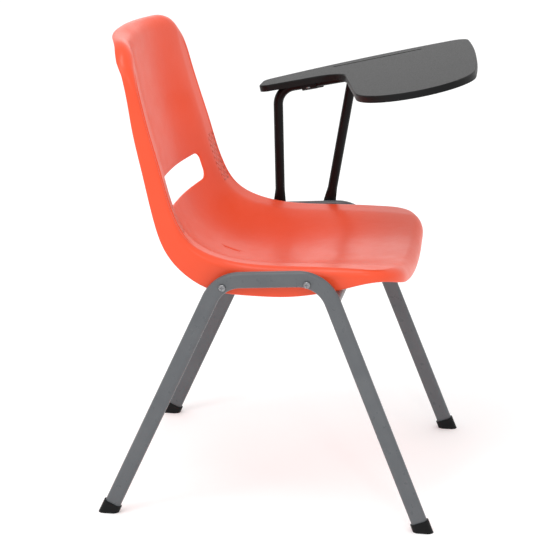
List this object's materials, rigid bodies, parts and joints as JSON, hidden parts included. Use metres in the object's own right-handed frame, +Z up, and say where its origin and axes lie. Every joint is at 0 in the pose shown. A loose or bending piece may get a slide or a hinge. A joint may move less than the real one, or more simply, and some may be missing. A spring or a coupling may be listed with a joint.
{
  "type": "tablet arm chair",
  "caption": "Student desk chair: moulded shell seat with a lumbar slot on bent tube side frames, and a tablet arm on the sitter's left that hinges up and outward.",
  "frame": {"origin": "on the floor, in the middle of the footprint of the whole chair's bounding box, tablet included", "axes": "+Z up; the sitter faces -Y; +X is the sitter's left, where the tablet arm is; the seat's own centre plane is x = -58 mm"},
  "size_m": [0.6424, 0.6249, 0.8147],
  "materials": {
    "shell": "satin moulded polypropylene, orange red",
    "frame": "grey powder coat",
    "glide": "black moulded plastic",
    "zinc": "bright zinc plate",
    "insert": "turned brass",
    "support": "black powder coat",
    "board": "dark grey moulded plastic, fine grain",
    "hinge": "black moulded plastic"
  },
  "bodies": {
    "chair": {"seat_shell": "shell", "right_side_frame": "frame", "left_side_frame": "frame", "front_cross_tube": "frame", "rear_cross_tube": "frame", "rear_right_glide": "glide", "rear_left_glide": "glide", "front_right_glide": "glide", "front_left_glide": "glide", "right_seat_screws": "zinc", "left_seat_screws": "zinc", "right_seat_spacers": "glide", "left_seat_spacers": "glide", "right_seat_inserts": "insert", "left_seat_inserts": "insert", "tablet_support_tube": "support", "tablet_support_strut": "support", "run_end_plug": "glide", "tilt_stop_pin": "support", "support_washers": "zinc", "support_bolts": "zinc", "support_nuts": "zinc"},
    "tablet": {"tablet_board": "board", "rear_hinge_cap": "hinge", "front_hinge_cap": "hinge", "hinge_cap_screws": "zinc"}
  },
  "joints": [
    {"name": "tablet_flip", "type": "hinge", "parent": "chair", "child": "tablet", "pos_m": [0.204, 0.04, 0.6627], "axis": [0, 0.9799, -0.1994], "range_deg": [0, 90]}
  ]
}
